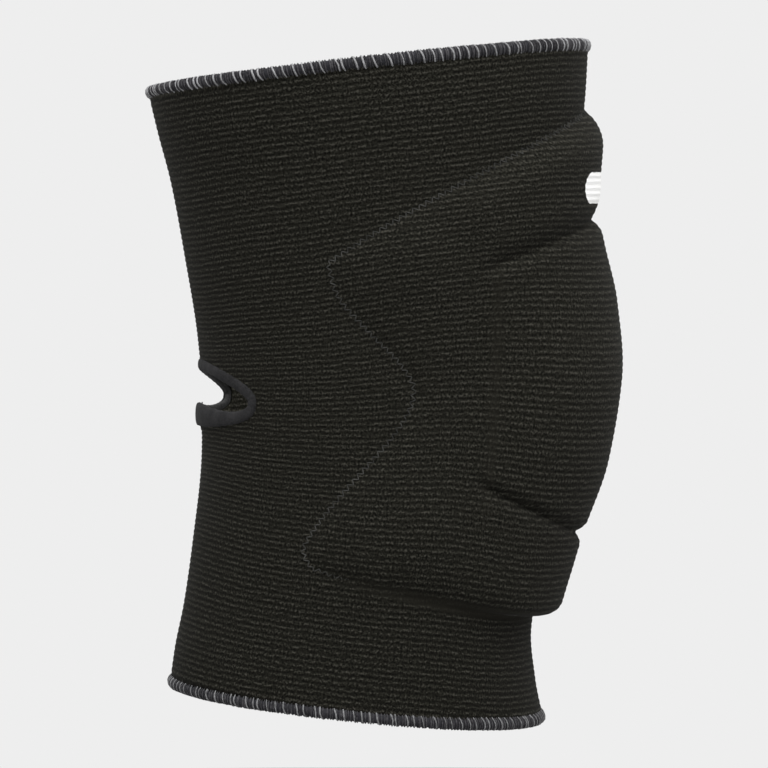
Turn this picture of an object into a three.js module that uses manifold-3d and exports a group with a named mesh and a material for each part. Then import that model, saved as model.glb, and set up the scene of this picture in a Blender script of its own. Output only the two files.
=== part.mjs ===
// A slip-on sports knee pad: a rib-knit sleeve with a three-lobed foam pad in its
// front, overlocked hems and a bound opening behind the knee. It is shaped as it
// sits on a slightly bent leg.
// Millimetres. +Z runs up the leg, +X points out of the front of the knee, and the
// origin is the middle of the leg hollow at the height of the knee joint.

import * as THREE from "three";
import { mergeVertices } from "three/addons/utils/BufferGeometryUtils.js";
import Module from "manifold-3d";

const wasm = await Module();
wasm.setup();

// Sleeve
const sleeveAbove = 115.5; // knee joint to the top of the upper hem, along the leg
const sleeveBelow = 108.4; // knee joint to the bottom of the lower hem
const kneeDepth = 123.2; // leg hollow at the knee, back to front
const kneeWidth = 109.2; // leg hollow at the knee, side to side
const bendRadius = 1040; // of the leg's curved centreline, bent back behind the knee
const knitThickness = 2.4;
const hemHeight = 4;
const hemBulge = 0.8; // how far the overlocking stands proud of the knit
const clearance = 0.3; // between pieces that touch

// Foam pad
const padRise = 93.4; // knee joint to the upper seam, at the front
const padDrop = 72.5; // knee joint to the lower seam, at the front
const padWrap = 122; // degrees from the front to the widest point of the seam
const kneeLobe = 19.4; // thickness over the kneecap, with the knit's own left out
const wingThickness = 5.6; // at the sides
const wingStart = 45; // degrees from the front to where the lobes give way to the wings
const wingFull = 100;
const lobeFall = 1.4; // power of the lobes' fall in thickness towards the creases
const padEdge = 1; // at the cut edge of the foam
const seamInset = 2; // from the seam to the foam's edge
const grooveDepth = 3.4; // of the two flexing grooves between the lobes
const upperGrooveSteep = 4.8; // width of its flank on the knee lobe
const upperGrooveGentle = 10.5; // width of its flank on the upper lobe
const lowerGrooveSteep = 3.7;
const lowerGrooveGentle = 4.5;
const grooveReach = 73; // degrees from the front to where a groove has run out
const grooveFade = 9; // degrees it takes to do so
const creaseAngle = 74; // degrees from the front to the line where the wings fold
const creaseLean = 9; // how many more degrees at the upper seam
const creaseDepth = 1.2; // twice as much at the upper seam
const creaseWidth = 7; // degrees, half of it

// How far each edge of the pad takes to reach its full thickness, and the power of
// its rise: under 1 it is blunt, over 1 soft. The upper and lower edges turn into
// wing towards the sides, and side runs in from the seam across the wings.
const padEdges = {
  upper: { run: 12, roundness: 0.9 },
  lower: { run: 5.5, roundness: 0.42 },
  wing: { run: 24, roundness: 1.2 },
  side: { run: 42, roundness: 1.3 },
};

// Opening behind the knee
const openingWidth = 67.6; // between the middles of the binding
const openingRise = 12.1;
const openingDrop = 8.1;
const openingUpperPower = 1.2; // 1 is a half ellipse, more is more pointed
const openingLowerPower = 0.6;
const bindingDiameter = 3.2;
const bindingStandOff = 0.7; // how far the binding is pushed out of the knit's middle
const lipRoll = 1.9; // how far the middle of the lower edge rolls outward
const lipLift = 1.5; // and upward
const lipSwell = 1.1; // share by which the binding is taller there
const lipSpread = 22; // degrees from the middle
const lipHeight = 3.2; // how far up and down the knit the roll falls to a third
const lipReach = 1.5 * lipHeight; // how far up and down the mesh follows it

// Leg hollow by height. at is a share of sleeveAbove, or below the knee of
// sleeveBelow; back and front are shares of half of kneeDepth, side of half of
// kneeWidth.
const legSections = [
  { at: -1.0, back: 1.105, front: 0.965, side: 0.97 },
  { at: -0.87, back: 1.095, front: 0.89, side: 0.96 },
  { at: -0.72, back: 1.065, front: 0.842, side: 0.955 },
  { at: -0.5, back: 1.035, front: 0.89, side: 0.97 },
  { at: -0.18, back: 1.0, front: 0.96, side: 0.99 },
  { at: 0.0, back: 1.0, front: 0.995, side: 1.0 },
  { at: 0.18, back: 1.02, front: 1.035, side: 1.015 },
  { at: 0.44, back: 1.075, front: 1.09, side: 1.07 },
  { at: 0.7, back: 1.13, front: 1.125, side: 1.14 },
  { at: 0.85, back: 1.175, front: 1.178, side: 1.195 },
  { at: 1.0, back: 1.21, front: 1.224, side: 1.235 },
];

// Rows of the pad, from its lower seam to its upper one. A row leaves the front at
// the height front and bows to the height side, where it meets the seam at the
// angle reach. Heights are shares of padRise, or below the knee of padDrop, and
// angles are shares of padWrap. bow is the power of the curve between, and lobe is
// the pad's thickness at the front as a share of kneeLobe.
const padRows = [
  { front: -1.0, side: -0.79, reach: 0.975, bow: 2.4, lobe: 0.46 },
  { front: -0.92, side: -0.71, reach: 1.0, bow: 2.3, lobe: 0.49 },
  { front: -0.82, side: -0.57, reach: 0.965, bow: 2.1, lobe: 0.535 },
  { front: -0.63, side: -0.155, reach: 0.79, bow: 1.8, lobe: 0.65 },
  { front: -0.3, side: -0.05, reach: 0.755, bow: 1.8, lobe: 0.92 },
  { front: 0.05, side: 0.045, reach: 0.74, bow: 1.8, lobe: 1.0 },
  { front: 0.33, side: 0.14, reach: 0.775, bow: 1.8, lobe: 0.775 },
  { front: 0.54, side: 0.235, reach: 0.835, bow: 1.8, lobe: 0.455 },
  { front: 0.62, side: 0.285, reach: 0.865, bow: 1.8, lobe: 0.37 },
  { front: 0.75, side: 0.38, reach: 0.915, bow: 1.8, lobe: 0.375 },
  { front: 0.88, side: 0.45, reach: 0.93, bow: 1.8, lobe: 0.415 },
  { front: 1.0, side: 0.51, reach: 0.935, bow: 1.8, lobe: 0.37 },
];
const upperGrooveRow = 0.62; // as front in padRows
const lowerGrooveRow = -0.63;

// Mesh steps up the pad, by band from its lower edge to its upper one.
const padSteps = {
  lowerEdge: 3,
  lowerLobe: 2,
  grooveFlank: 2,
  underLip: 2,
  lip: 4,
  kneeLobe: 5,
  upperLobe: 2,
  upperEdge: 4,
};

// Mesh steps elsewhere.
const lowerBandSteps = 3; // from the lower hem to the pad
const upperBandSteps = 4; // from the pad to the upper hem
const frontSteps = 12; // from the front to the foam's edge
const backSteps = 7; // from the seam's side to the back
const openingSteps = 28; // round the opening
const hemSides = 8;
const bindingSides = 8;
const weldDistance = 1e-3; // at which corners count as one

const knitFinish = { color: 0x1f1f1d, roughness: 0.95 };
const foamFinish = { color: 0x232322, roughness: 0.9 };
const hemFinish = { color: 0x3a3a3c, roughness: 0.85 };
const bindingFinish = { color: 0x2b2a2e, roughness: 0.9 };

// Ends of the knit, on which the hems sit.
const sleeveTop = sleeveAbove - hemHeight - clearance;
const sleeveBottom = hemHeight + clearance - sleeveBelow;

const radians = THREE.MathUtils.degToRad;
const degrees = THREE.MathUtils.radToDeg;

// A smooth curve through one column of a table that never overshoots its rows.
function curveThrough(table, key, name) {
  const x = table.map((row) => row[key]);
  const y = table.map((row) => row[name]);
  const secant = x.slice(1).map((next, i) => (y[i + 1] - y[i]) / (next - x[i]));
  const slope = x.map((_, i) => {
    const before = secant[Math.max(i - 1, 0)];
    const after = secant[Math.min(i, secant.length - 1)];
    return before * after <= 0 ? 0 : (2 * before * after) / (before + after);
  });
  return (at) => {
    let i = x.findIndex((next) => next > at) - 1;
    if (i < 0) i = at < x[0] ? 0 : x.length - 2;
    const span = x[i + 1] - x[i];
    const t = THREE.MathUtils.clamp((at - x[i]) / span, 0, 1);
    const rest = 1 - t;
    return (
      y[i] * rest * rest * (1 + 2 * t) +
      y[i + 1] * t * t * (3 - 2 * t) +
      span * t * rest * (slope[i] * rest - slope[i + 1] * t)
    );
  };
}

const legBack = curveThrough(legSections, "at", "back");
const legFront = curveThrough(legSections, "at", "front");
const legSide = curveThrough(legSections, "at", "side");
const rowSide = curveThrough(padRows, "front", "side");
const rowReach = curveThrough(padRows, "front", "reach");
const rowBow = curveThrough(padRows, "front", "bow");
const rowLobe = curveThrough(padRows, "front", "lobe");

// The leg's half sizes at a height along its centreline.
function legHalves(height) {
  const at = height / (height < 0 ? sleeveBelow : sleeveAbove);
  return {
    back: (legBack(at) * kneeDepth) / 2,
    front: (legFront(at) * kneeDepth) / 2,
    side: (legSide(at) * kneeWidth) / 2,
  };
}

// A point at an angle from the front, a height along the centreline and a distance
// out of the leg's skin.
function legPoint(angle, height, out) {
  const half = legHalves(height);
  const depth = Math.cos(angle) >= 0 ? half.front : half.back;
  const normal = new THREE.Vector2(Math.cos(angle) / depth, Math.sin(angle) / half.side);
  normal.normalize();
  const x = depth * Math.cos(angle) + out * normal.x;
  const y = half.side * Math.sin(angle) + out * normal.y;
  const bend = height / bendRadius;
  return new THREE.Vector3(
    (bendRadius + x) * Math.cos(bend) - bendRadius,
    y,
    (bendRadius + x) * Math.sin(bend),
  );
}

// Heights of pad rows in mm, from their shares.
const padHeight = (share) => share * (share < 0 ? padDrop : padRise);
const padShare = (height) => height / (height < 0 ? padDrop : padRise);

// Where the row that leaves the front at a height has got to. along is 0 at the
// front, 1 or -1 on the seam's side, and 2 or -2 at the back.
function rowPoint(front, along) {
  const share = THREE.MathUtils.clamp(padShare(front), -1, 1);
  const reach = radians(padWrap * rowReach(share));
  const seamHeight = padHeight(rowSide(share));
  const beyond = THREE.MathUtils.clamp(
    front > 0
      ? (front - padRise) / (sleeveTop - padRise)
      : (front + padDrop) / (sleeveBottom + padDrop),
    0,
    1,
  );
  const side = THREE.MathUtils.lerp(seamHeight, front, beyond);
  const far = Math.abs(along);
  const bowed = side + (front - side) * (1 - Math.pow(Math.min(far, 1), rowBow(share)));
  const behind = Math.max(far - 1, 0);
  return {
    angle: Math.sign(along) * (Math.min(far, 1) * reach + behind * (Math.PI - reach)),
    height: THREE.MathUtils.lerp(bowed, front, THREE.MathUtils.smoothstep(behind, 0, 1)),
    reach,
  };
}

// A rounded rise from 0 on an edge to 1 at the distance run from it.
function rise(distance, run, roundness) {
  const left = 1 - THREE.MathUtils.clamp(distance / run, 0, 1);
  return Math.pow(1 - left * left, roundness);
}

// Depth of a flexing groove as a share of its whole, at a distance from its bottom
// towards the knee lobe, by the widths of its two flanks.
function groove(distance, steep, gentle) {
  const width = distance > 0 ? steep : gentle;
  return Math.pow(Math.max(1 - Math.abs(distance) / width, 0), 2);
}

// How deep the flexing grooves and the fold lines of the wings are at a place.
function grooves(front, fromFront) {
  const { smoothstep } = THREE.MathUtils;
  const fade = 1 - smoothstep(fromFront, grooveReach - grooveFade, grooveReach);
  const aboveUpper = front - padHeight(upperGrooveRow);
  const aboveLower = front - padHeight(lowerGrooveRow);
  const upper = groove(-aboveUpper, upperGrooveSteep, upperGrooveGentle);
  const lower = groove(aboveLower, lowerGrooveSteep, lowerGrooveGentle);
  const high = smoothstep(front, padRise / 2, padRise);
  const fromCrease = fromFront - creaseAngle - creaseLean * high;
  const crease = Math.exp(-Math.pow(fromCrease / creaseWidth, 2));
  return grooveDepth * fade * (upper + lower) + creaseDepth * (1 + high) * crease;
}

// Full thickness of the pad at a place, times how far it has risen at the given
// distance inside the seam.
function padThickness(front, along, inset) {
  const { lerp, smoothstep } = THREE.MathUtils;
  const place = rowPoint(front, along);
  const angle = Math.abs(degrees(place.angle));
  const toFront = Math.cos(radians(90 * Math.min(angle / creaseAngle, 1)));
  const lobe = kneeLobe * rowLobe(padShare(front));
  const full = lerp(wingThickness, lobe, Math.pow(toFront, lobeFall));
  const wing = smoothstep(angle, wingStart, wingFull);
  const edgeRise = (distance, edge) =>
    rise(
      distance - inset,
      lerp(edge.run, padEdges.wing.run, wing),
      lerp(edge.roundness, padEdges.wing.roundness, wing),
    );
  const sideDistance = (1 - Math.abs(along)) * place.reach * (kneeWidth / 2);
  const risen =
    edgeRise(padRise - front, padEdges.upper) *
    edgeRise(front + padDrop, padEdges.lower) *
    rise(sideDistance - inset, padEdges.side.run, padEdges.side.roundness);
  return Math.max((full - grooves(front, angle)) * risen, 0);
}

// 1 at the middle of the opening's lower edge, falling to 0 on either side.
const lipShare = (angle) => Math.exp(-Math.pow((180 - Math.abs(degrees(angle))) / lipSpread, 2));

// How far the lower edge of the opening rolls outward at a place.
const rollOut = (angle, height) =>
  lipRoll * lipShare(angle) * Math.exp(-Math.pow((height + openingDrop) / lipHeight, 2));

const isOnPad = (front, along) =>
  Math.abs(along) < 1 && front < padRise && front > -padDrop;

// Foam, and the two faces of the knit that wraps it, as distances out of the leg.
const foamOut = (front, along) =>
  padEdge + padThickness(front, along, seamInset) * (1 - padEdge / kneeLobe);
function knitInside(front, along) {
  if (isOnPad(front, along)) return foamOut(front, along) + clearance;
  const place = rowPoint(front, along);
  return rollOut(place.angle, place.height);
}
function knitOutside(front, along) {
  const over = isOnPad(front, along) ? padThickness(front, along, 0) : 0;
  return Math.max(over, knitInside(front, along)) + knitThickness;
}

// Numbers from low to high in equal steps, with both ends.
function steps(low, high, count) {
  return Array.from({ length: count + 1 }, (_, i) => low + ((high - low) * i) / count);
}

const unique = (values) =>
  [...new Set(values.map((value) => Number(value.toFixed(4))))].sort((a, b) => a - b);

// The heights at the front of the rows of mesh lines over the pad, closer together
// at its edges and grooves and level with the lip of the opening behind.
function padFronts() {
  const upper = padHeight(upperGrooveRow);
  const lower = padHeight(lowerGrooveRow);
  const top = padRise - seamInset;
  const bottom = seamInset - padDrop;
  const lipTop = lipReach - openingDrop;
  const lipBottom = -openingDrop - lipReach;
  return unique([
    ...steps(bottom, bottom + padEdges.lower.run, padSteps.lowerEdge),
    ...steps(bottom + padEdges.lower.run, lower - lowerGrooveGentle, padSteps.lowerLobe),
    ...steps(lower - lowerGrooveGentle, lower, padSteps.grooveFlank),
    ...steps(lower, lower + lowerGrooveSteep, padSteps.grooveFlank),
    ...steps(lower + lowerGrooveSteep, lipBottom, padSteps.underLip),
    ...steps(lipBottom, lipTop, padSteps.lip),
    ...steps(lipTop, upper - upperGrooveSteep, padSteps.kneeLobe),
    ...steps(upper - upperGrooveSteep, upper, padSteps.grooveFlank),
    ...steps(upper, upper + upperGrooveGentle, padSteps.grooveFlank),
    ...steps(upper + upperGrooveGentle, top - padEdges.upper.run, padSteps.upperLobe),
    ...steps(top - padEdges.upper.run, top, padSteps.upperEdge),
  ]);
}

// How far along a row each mesh line over the pad runs, as a share of the way to
// the foam's edge.
const padLines = steps(0, 1, frontSteps);

function sleeveFronts() {
  return unique([
    ...steps(sleeveBottom, -padDrop, lowerBandSteps),
    ...padFronts(),
    ...steps(padRise, sleeveTop, upperBandSteps),
  ]);
}

// The share of a row at which the foam ends, inside the seam.
const foamLimit = (front) => 1 - seamInset / (rowPoint(front, 1).reach * (kneeWidth / 2));

// One ring of places round the sleeve on the row that leaves the front at a height.
function ringAlongs(front) {
  const half = [
    ...padLines.map((line) => line * foamLimit(front)),
    ...steps(1, 2, backSteps),
  ];
  const other = half.slice(1, -1).reverse();
  return [...half, ...other.map((along) => -along)];
}

// A closed body between two grids of points, each grid a list of rows. A ring's
// rows close on themselves; a loop's first and last rows meet as well.
function bodyBetween(outer, inner, isRing) {
  const positions = [];
  const quad = (a, b, c, d) => positions.push(a, b, c, a, c, d);
  const columns = outer[0].length;
  const last = outer.length - 1;
  const spans = isRing ? columns : columns - 1;
  for (let j = 0; j <= last; j += 1) {
    for (let i = 0; i < spans; i += 1) {
      const n = (i + 1) % columns;
      if (j < last) {
        quad(outer[j][i], outer[j][n], outer[j + 1][n], outer[j + 1][i]);
        quad(inner[j][i], inner[j + 1][i], inner[j + 1][n], inner[j][n]);
      }
      if (j === 0) quad(inner[0][i], inner[0][n], outer[0][n], outer[0][i]);
      if (j === last) quad(outer[j][i], outer[j][n], inner[j][n], inner[j][i]);
    }
  }
  if (!isRing) {
    const end = columns - 1;
    for (let j = 0; j < last; j += 1) {
      quad(inner[j][0], outer[j][0], outer[j + 1][0], inner[j + 1][0]);
      quad(outer[j][end], inner[j][end], inner[j + 1][end], outer[j + 1][end]);
    }
  }
  return new THREE.BufferGeometry().setFromPoints(positions);
}

// A closed tube from rings of section points, the last ring meeting the first.
function loopBody(sections) {
  const positions = [];
  const count = sections.length;
  const sides = sections[0].length;
  for (let j = 0; j < count; j += 1) {
    const here = sections[j];
    const next = sections[(j + 1) % count];
    for (let i = 0; i < sides; i += 1) {
      const n = (i + 1) % sides;
      positions.push(here[i], next[i], next[n], here[i], next[n], here[n]);
    }
  }
  return new THREE.BufferGeometry().setFromPoints(positions);
}

// Solids for cutting, and back again.
function toSolid(geometry) {
  const bare = new THREE.BufferGeometry();
  bare.setAttribute("position", geometry.getAttribute("position"));
  const merged = mergeVertices(bare, weldDistance);
  return new wasm.Manifold(
    new wasm.Mesh({
      numProp: 3,
      vertProperties: merged.getAttribute("position").array,
      triVerts: new Uint32Array(merged.getIndex().array),
    }),
  );
}

function toGeometry(solid) {
  const mesh = solid.getMesh();
  const geometry = new THREE.BufferGeometry();
  geometry.setAttribute("position", new THREE.BufferAttribute(mesh.vertProperties, 3));
  geometry.setIndex(new THREE.BufferAttribute(mesh.triVerts, 1));
  return geometry;
}

// Stations along the binding round the opening behind the knee. Each has its point,
// the direction out of the leg there and half the binding's height.
function openingLine() {
  const power = (value, exponent) => Math.sign(value) * Math.pow(Math.abs(value), exponent);
  return steps(0, 2 * Math.PI, openingSteps)
    .slice(0, -1)
    .map((turn) => {
      const isAbove = Math.sin(turn) >= 0;
      const bow = isAbove ? openingUpperPower : openingLowerPower;
      const across = (power(Math.cos(turn), bow) * openingWidth) / 2;
      const level = power(Math.sin(turn), bow) * (isAbove ? openingRise : openingDrop);
      const angle = Math.PI - Math.asin(across / (legHalves(level).side + knitThickness));
      const lip = lipShare(angle) * Math.max(-Math.sin(turn), 0);
      const height = level + lipLift * lip;
      const out = knitThickness / 2 + bindingStandOff + rollOut(angle, height);
      const point = legPoint(angle, height, out);
      return {
        point,
        outward: legPoint(angle, height, out + 1).sub(point),
        halfHeight: (bindingDiameter / 2) * (1 + lipSwell * lip),
      };
    });
}

// The cutter for the opening: the binding's outline seen from behind, with half its
// height and a gap added, run straight through the back of the knit.
function openingCutter() {
  const line = openingLine();
  const outline = line.map(({ point, halfHeight }, i) => {
    const before = line[(i + line.length - 1) % line.length].point;
    const after = line[(i + 1) % line.length].point;
    const tangent = new THREE.Vector2(after.y - before.y, after.z - before.z).normalize();
    const grow = halfHeight + clearance;
    return new THREE.Vector2(point.y + tangent.y * grow, point.z - tangent.x * grow);
  });
  const depth = kneeDepth / 2 + lipRoll + 3 * knitThickness;
  const geometry = new THREE.ExtrudeGeometry(new THREE.Shape(outline), {
    depth,
    bevelEnabled: false,
  });
  const basis = new THREE.Matrix4().makeBasis(
    new THREE.Vector3(0, 1, 0),
    new THREE.Vector3(0, 0, 1),
    new THREE.Vector3(1, 0, 0),
  );
  return geometry.applyMatrix4(basis).translate(-depth, 0, 0);
}

function sleeveGeometry() {
  const grid = (face) =>
    sleeveFronts().map((front) =>
      ringAlongs(front).map((along) => {
        const place = rowPoint(front, along);
        return legPoint(place.angle, place.height, face(front, along));
      }),
    );
  const sleeve = toSolid(bodyBetween(grid(knitOutside), grid(knitInside), true));
  return toGeometry(sleeve.subtract(toSolid(openingCutter())));
}

function foamGeometry() {
  const grid = (face) =>
    padFronts().map((front) => {
      const half = padLines.map((line) => line * foamLimit(front));
      const alongs = [...half.slice(1).reverse().map((along) => -along), ...half];
      return alongs.map((along) => {
        const place = rowPoint(front, along);
        return legPoint(place.angle, place.height, face(front, along));
      });
    });
  const skin = () => 0;
  return bodyBetween(grid(foamOut), grid(skin), false);
}

// A hem between two heights: an eight-sided bead that wraps the knit's raw edge.
function hemGeometry(bottom, top) {
  const middle = (bottom + top) / 2;
  const flat = Math.cos(Math.PI / hemSides);
  const section = steps(0, 2 * Math.PI, hemSides)
    .slice(0, -1)
    .map((turn) => {
      const point = turn + Math.PI / hemSides;
      return {
        out: knitThickness / 2 + ((knitThickness / 2 + hemBulge) * Math.cos(point)) / flat,
        up: ((hemHeight / 2) * Math.sin(point)) / flat,
      };
    });
  const edge = middle > 0 ? sleeveTop : sleeveBottom;
  return loopBody(
    ringAlongs(edge).map((along) => {
      const { angle } = rowPoint(edge, along);
      return section.map((corner) => legPoint(angle, middle + corner.up, corner.out));
    }),
  );
}

// A round tube along the opening's line, drawn out taller at the lip.
function bindingGeometry() {
  const line = openingLine();
  return loopBody(
    line.map(({ point, outward, halfHeight }, i) => {
      const before = line[(i + line.length - 1) % line.length].point;
      const after = line[(i + 1) % line.length].point;
      const tangent = after.clone().sub(before);
      const across = outward.clone().cross(tangent).normalize();
      return steps(0, 2 * Math.PI, bindingSides)
        .slice(0, -1)
        .map((turn) =>
          point
            .clone()
            .addScaledVector(outward, (bindingDiameter / 2) * Math.cos(turn))
            .addScaledVector(across, halfHeight * Math.sin(turn)),
        );
    }),
  );
}

function piece(name, geometry, finish) {
  const flat = geometry.index ? geometry.toNonIndexed() : geometry;
  flat.computeVertexNormals();
  const mesh = new THREE.Mesh(flat, new THREE.MeshStandardMaterial(finish));
  mesh.name = name;
  return mesh;
}

const kneePad = new THREE.Group();
kneePad.add(
  piece("knit_sleeve", sleeveGeometry(), knitFinish),
  piece("foam_pad", foamGeometry(), foamFinish),
  piece("upper_hem", hemGeometry(sleeveAbove - hemHeight, sleeveAbove), hemFinish),
  piece("lower_hem", hemGeometry(-sleeveBelow, hemHeight - sleeveBelow), hemFinish),
  piece("opening_binding", bindingGeometry(), bindingFinish),
);

export default kneePad;
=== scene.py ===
"""The looks of a rib-knit sports knee pad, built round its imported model.

Shapes are worked out in millimetres, from the same sizes as the model, and made in
metres. Angles run from the front of the knee, 0, to behind it, 180, on either side.
Heights run along the leg's curved centreline from the knee joint.
"""

import math

import bpy
import numpy as np
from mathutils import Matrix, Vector

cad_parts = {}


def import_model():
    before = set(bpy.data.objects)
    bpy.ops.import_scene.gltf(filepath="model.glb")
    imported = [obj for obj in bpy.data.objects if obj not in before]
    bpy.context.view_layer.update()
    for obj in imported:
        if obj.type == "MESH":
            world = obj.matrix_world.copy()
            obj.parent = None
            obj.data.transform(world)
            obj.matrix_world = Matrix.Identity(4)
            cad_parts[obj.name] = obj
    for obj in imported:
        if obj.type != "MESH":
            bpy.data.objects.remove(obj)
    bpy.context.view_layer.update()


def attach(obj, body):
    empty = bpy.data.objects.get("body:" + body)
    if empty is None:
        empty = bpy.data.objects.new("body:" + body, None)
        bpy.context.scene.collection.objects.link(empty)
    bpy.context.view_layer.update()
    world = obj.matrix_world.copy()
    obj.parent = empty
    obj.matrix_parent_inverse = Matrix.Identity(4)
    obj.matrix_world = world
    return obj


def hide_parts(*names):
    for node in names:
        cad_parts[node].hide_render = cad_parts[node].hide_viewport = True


MM = 0.001

# Sleeve, as in the model
SLEEVE_ABOVE = 115.5
SLEEVE_BELOW = 108.4
KNEE_DEPTH = 123.2
KNEE_WIDTH = 109.2
KNEE_RADIUS = (KNEE_DEPTH + KNEE_WIDTH) / 4
BEND_RADIUS = 1040
KNIT_THICKNESS = 2.4
HEM_HEIGHT = 4
CLEARANCE = 0.3
SLEEVE_TOP = SLEEVE_ABOVE - HEM_HEIGHT - CLEARANCE
SLEEVE_BOTTOM = HEM_HEIGHT + CLEARANCE - SLEEVE_BELOW

# Foam pad, as in the model
PAD_RISE = 93.4
PAD_DROP = 72.5
PAD_WRAP = 122
KNEE_LOBE = 19.4
WING_THICKNESS = 5.6
WING_START = 45
WING_FULL = 100
LOBE_FALL = 1.4
PAD_EDGE = 1
SEAM_INSET = 2
# Run and roundness of each edge's rise
UPPER_EDGE = (12, 0.9)
LOWER_EDGE = (5.5, 0.42)
WING_EDGE = (24, 1.2)
SIDE_EDGE = (42, 1.3)
GROOVE_DEPTH = 3.4
UPPER_GROOVE_STEEP = 4.8
UPPER_GROOVE_GENTLE = 10.5
LOWER_GROOVE_STEEP = 3.7
LOWER_GROOVE_GENTLE = 4.5
GROOVE_REACH = 73
GROOVE_FADE = 9
CREASE_ANGLE = 74
CREASE_LEAN = 9
CREASE_DEPTH = 1.2
CREASE_WIDTH = 7
UPPER_GROOVE_ROW = 0.62
LOWER_GROOVE_ROW = -0.63

# Opening behind the knee, as in the model
OPENING_WIDTH = 67.6
OPENING_RISE = 12.1
OPENING_DROP = 8.1
OPENING_UPPER_POWER = 1.2
OPENING_LOWER_POWER = 0.6
BINDING_DIAMETER = 3.2
BINDING_STAND_OFF = 0.7
LIP_ROLL = 1.9
LIP_LIFT = 1.5
LIP_SWELL = 1.1
LIP_SPREAD = 22
LIP_HEIGHT = 3.2

# at, back, front and side, as in the model's legSections
LEG_SECTIONS = {
    "at": (-1.0, -0.87, -0.72, -0.5, -0.18, 0.0, 0.18, 0.44, 0.7, 0.85, 1.0),
    "back": (1.105, 1.095, 1.065, 1.035, 1.0, 1.0, 1.02, 1.075, 1.13, 1.175, 1.21),
    "front": (0.965, 0.89, 0.842, 0.89, 0.96, 0.995, 1.035, 1.09, 1.125, 1.178, 1.224),
    "side": (0.97, 0.96, 0.955, 0.97, 0.99, 1.0, 1.015, 1.07, 1.14, 1.195, 1.235),
}
# front, side, reach, bow and lobe, as in the model's padRows
PAD_ROWS = {
    "front": (-1.0, -0.92, -0.82, -0.63, -0.3, 0.05, 0.33, 0.54, 0.62, 0.75, 0.88, 1.0),
    "side": (-0.79, -0.71, -0.57, -0.155, -0.05, 0.045, 0.14, 0.235, 0.285, 0.38, 0.45, 0.51),
    "reach": (0.975, 1.0, 0.965, 0.79, 0.755, 0.74, 0.775, 0.835, 0.865, 0.915, 0.93, 0.935),
    "bow": (2.4, 2.3, 2.1, 1.8, 1.8, 1.8, 1.8, 1.8, 1.8, 1.8, 1.8, 1.8),
    "lobe": (0.46, 0.49, 0.535, 0.65, 0.92, 1.0, 0.775, 0.455, 0.37, 0.375, 0.415, 0.37),
}

# Sag of the pad's lower edge, as a share of how far it stands out
SAG = 0.12
SAG_HEIGHT = 13  # how far up the pad it fades
SAG_ANGLE = 70  # and how far round

# Knit
RIB_SWAY = 3.2  # how far up the rib lines are drawn where the wings meet the front
RIB_SWAY_ANGLE = 77
RIB_SWAY_WIDTH = 29
RIB_SWAY_MIDDLE = 5
RIB_SWAY_REACH = 62
RIB_PITCH = 1.985
RIB_HEIGHT = 0.24
RIB_ROUNDS = 6  # of closing in on the height of a rib line
ROWS_PER_RIB = 3
SLEEVE_COLUMNS = 240
INNER_ROWS = 64
# The inner rows lie closer from just under the pad's lowest point to this far over it,
# where its edge is steep. The shares are of all rows, up to each end of that stretch.
CROWDED_BELOW = 4
CROWDED_ABOVE = 18
CROWDED_SHARES = (0, 0.08, 0.45, 1)
BACK_BUNCHING = 0.22  # how much closer the ribs lie behind the knee
BACK_BUNCHING_REACH = 65
BACK_BUNCHING_SPANS = ((85, 135), (125, 170))  # angles over which it sets in
FRONT_SPREAD = 0.1  # how much the knee lobe spreads them
FRONT_SPREAD_REACH = 75
FRONT_SPREAD_SPAN = (45, 90)  # angles over which it ends
LOOP_PITCH = 0.8
PAINTED_LIGHT_UP_LEG = 0.001  # painted light: how much paler each rib is painted than the one below
PAINTED_LIGHT_OVER_PAD = 0.13  # and painted light on the knit over the pad's thickest part
KNIT_INTO_HEM = 1.6

# Hems
HEM_HALF_THICKNESS = 1.9
HEM_HALF_HEIGHT = 2.1
HEM_BULGE = 0.03  # size of the wave in their thickness, by that thickness
HEM_LEAN = 0.07  # size of the wave up and down the leg, in millimetres
UPPER_HEM_SEEDS = (5, 8)
LOWER_HEM_SEEDS = (6, 9)
HEM_CORE_SUNK = 0.6  # how deep the dark thread lies in the core, by the thread's radius
DARK_LOOP_PITCH = 1.05
UPPER_LIGHT_PITCH = 3.5
LOWER_LIGHT_PITCH = 3.1
DARK_THREAD = 0.27
UPPER_LIGHT_THREAD = 0.3
LOWER_LIGHT_THREAD = 0.24
LIGHT_STAND_OUT = 0.12  # how far the light thread stands out past the dark one
DARK_SEED = 11
LIGHT_SEED = 12
LOOP_JITTER = 0.4  # unevenness of the loops, by their pitch
THREAD_WIDTHS = (0.75, 1.2)  # thinnest and thickest, by the thread's radius

# Section of the binding outward and across: size, by its half diameter, and the power
# of its curve
BINDING_OUT = 0.85
BINDING_OUT_POWER = 0.65
BINDING_ACROSS = 1.2
BINDING_ACROSS_POWER = 0.8
PUCKERS = 44  # round the opening
PUCKER_DEPTH = 0.035

# Stitching round the pad
ZIGZAG_PERIOD = 2.5
ZIGZAG_WIDTH = 1.6
SEAM_THREAD = 0.19
SEAM_DIP = 1.5  # how deep each turn dips into the knit, by the thread's radius
SEAM_SUNK = 1.2  # how far they sink under the pad's lower edge
SEAM_SUNK_HEIGHT = -54
SEAM_SUNK_ANGLE = 103
SHADED_SEAM_BAND = 3  # half the width that they pull smooth and that is painted in shade there

# Line pressed into the knit where the wings meet the front, smoothed and painted in shade
FOLD_SHARE = 0.7
FOLD_ANGLE = 66.5
FOLD_WIDTH = 1.3
FOLD_MIDDLE = 4
FOLD_REACH = 40

# Plain bar on the upper lobe
BAR_HEIGHT = 67.5
BAR_LENGTH = 66
BAR_WIDTH = 10
BAR_FRAY = 0.8

# Camera: where the photograph was taken from, and the pixel that the origin is on
CAMERA_AZIMUTH = -10
CAMERA_ELEVATION = 2.4
CAMERA_DISTANCE = 1113
MM_PER_PIXEL = 0.35
PICTURE_SIDE = 768
ORIGIN_PIXEL = (385, 395)

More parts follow.
